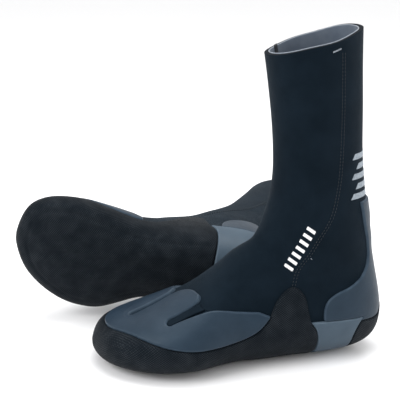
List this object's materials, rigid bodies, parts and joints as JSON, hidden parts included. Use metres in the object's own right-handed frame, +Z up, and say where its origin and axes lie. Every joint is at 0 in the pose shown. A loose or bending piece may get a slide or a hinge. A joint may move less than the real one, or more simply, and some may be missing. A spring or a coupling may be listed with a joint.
{
  "type": "neoprene water boots",
  "caption": "Pair of tall round-toe neoprene boots with a moulded rubber shell, toe cap and sole; the soft shafts bend at the ankle.",
  "frame": {"origin": "middle of the pair's bounding box, on the floor", "axes": "+Z up; the lying boot has its toe toward -X and its shaft along +Y; the standing boot is in front of it, its toe toward -X"},
  "size_m": [0.3732, 0.4446, 0.3202],
  "materials": {
    "textured_rubber": "fine textile-textured black moulded rubber, matt",
    "smooth_rubber": "smooth slate blue-grey moulded rubber, satin",
    "arch_rubber": "smooth light blue-grey rubber film, satin",
    "neoprene": "black stretch-knit-faced neoprene foam, matt",
    "lining": "grey-blue brushed knit lining",
    "stitch": "black blind-stitched and glued seam",
    "print": "white rubberised print",
    "grey_print": "light grey rubberised print",
    "white_thread": "white thread bartack",
    "tape": "dark inner seam tape"
  },
  "bodies": {
    "left_foot": {"left_forefoot_shell": "textured_rubber", "left_arch_panel": "arch_rubber", "left_heel_cup": "textured_rubber", "left_heel_overlay": "smooth_rubber", "left_achilles_gusset": "smooth_rubber", "left_toe_cap": "smooth_rubber", "left_vamp": "neoprene", "left_quarter": "neoprene", "left_ankle_gusset_front": "neoprene", "left_ankle_gusset_rear": "neoprene", "left_lining_foot": "lining", "left_ankle_print_low": "print"},
    "left_shaft": {"left_achilles_strip": "smooth_rubber", "left_shaft_front": "neoprene", "left_shaft_rear": "neoprene", "left_lining_shaft": "lining", "left_side_seams": "stitch", "left_ankle_print": "print", "left_calf_print": "grey_print", "left_cuff_bartack": "white_thread", "left_cuff_tape": "tape"},
    "right_foot": {"right_forefoot_shell": "textured_rubber", "right_arch_panel": "arch_rubber", "right_heel_cup": "textured_rubber", "right_heel_overlay": "smooth_rubber", "right_achilles_gusset": "smooth_rubber", "right_toe_cap": "smooth_rubber", "right_vamp": "neoprene", "right_quarter": "neoprene", "right_ankle_gusset_front": "neoprene", "right_ankle_gusset_rear": "neoprene", "right_lining_foot": "lining", "right_ankle_print_low": "print"},
    "right_shaft": {"right_achilles_strip": "smooth_rubber", "right_shaft_front": "neoprene", "right_shaft_rear": "neoprene", "right_lining_shaft": "lining", "right_side_seams": "stitch", "right_ankle_print": "print", "right_calf_print": "grey_print", "right_cuff_bartack": "white_thread", "right_cuff_tape": "tape"}
  },
  "joints": [
    {"name": "left_ankle", "type": "hinge", "parent": "left_foot", "child": "left_shaft", "pos_m": [0.11888, -0.13631, 0.084], "axis": [0.1994, -0.9799, 0], "range_deg": [-20, 20], "stiffness_Nm_per_rad": 6, "deforming": ["left_ankle_gusset_front", "left_ankle_gusset_rear", "left_achilles_gusset", "left_ankle_print_low"]},
    {"name": "right_ankle", "type": "hinge", "parent": "right_foot", "child": "right_shaft", "pos_m": [0.0279, 0.00722, 0.05318], "axis": [0.108, 0.0262, 0.9938], "range_deg": [-4, 30], "stiffness_Nm_per_rad": 6, "deforming": ["right_ankle_gusset_front", "right_ankle_gusset_rear", "right_achilles_gusset", "right_ankle_print_low"]},
    {"name": "right_boot_slide", "type": "slide", "parent": "left_foot", "child": "right_foot", "axis": [0, 1, 0], "range_m": [0, 0.12]}
  ]
}
